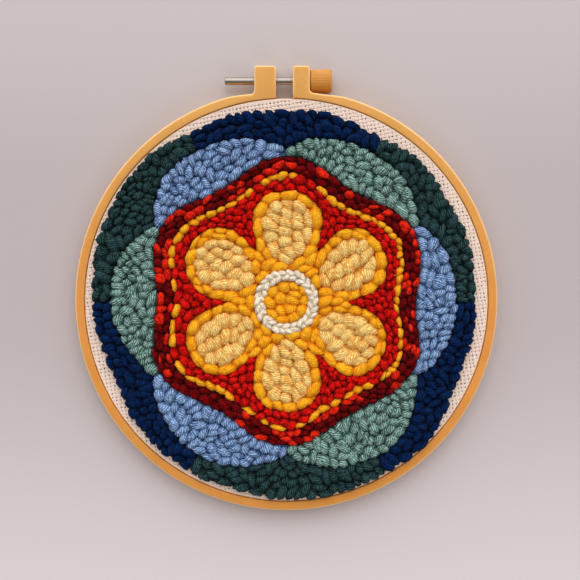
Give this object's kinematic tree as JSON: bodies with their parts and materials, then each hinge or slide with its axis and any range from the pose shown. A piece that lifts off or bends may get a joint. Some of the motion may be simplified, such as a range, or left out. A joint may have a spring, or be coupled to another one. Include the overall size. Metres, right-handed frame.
{
  "type": "punch needle wall piece in an embroidery hoop",
  "caption": "Round wall piece of looped yarn on cloth, a petalled medallion in cream, gold, reds, blues and greens, held in a plastic embroidery hoop with a thumbscrew.",
  "frame": {"origin": "on the surface the piece lies on, under the middle of its outline, which is 5.65 mm from the rings' common centre towards the screw", "axes": "+Z out of the looped face, +Y from the middle towards the two lugs and the screw, +X to the right as seen from the front"},
  "size_m": [0.2108, 0.2221, 0.0183],
  "materials": {
    "hoop_plastic": "moulded, satin",
    "screw_steel": "plain zinc-plated steel",
    "cloth": "open even weave, unbleached",
    "gold_yarn": "thick plied yarn, looped",
    "white_yarn": "thick plied yarn, looped",
    "cream_yarn": "thick plied yarn, looped",
    "red_yarn": "thick plied yarn, looped",
    "wine_yarn": "thick plied yarn, looped",
    "blue_yarn": "thick plied yarn, looped",
    "sage_yarn": "thick plied yarn, looped",
    "navy_yarn": "thick plied yarn, looped",
    "pine_yarn": "thick plied yarn, looped"
  },
  "bodies": {
    "root": {"outer_hoop": "hoop_plastic", "inner_hoop": "hoop_plastic", "knob": "hoop_plastic", "screw": "screw_steel", "cloth": "cloth", "gold_heart": "gold_yarn", "gold_outline": "gold_yarn", "white_braid_ring": "white_yarn", "cream_petal_1": "cream_yarn", "cream_petal_2": "cream_yarn", "cream_petal_3": "cream_yarn", "cream_petal_4": "cream_yarn", "cream_petal_5": "cream_yarn", "cream_petal_6": "cream_yarn", "red_ground": "red_yarn", "wine_scallops": "wine_yarn", "blue_arch_1": "blue_yarn", "blue_arch_2": "blue_yarn", "blue_arch_3": "blue_yarn", "sage_arch_1": "sage_yarn", "sage_arch_2": "sage_yarn", "sage_arch_3": "sage_yarn", "navy_edge_1": "navy_yarn", "navy_edge_2": "navy_yarn", "navy_edge_3": "navy_yarn", "pine_edge_1": "pine_yarn", "pine_edge_2": "pine_yarn", "pine_edge_3": "pine_yarn"}
  },
  "joints": []
}
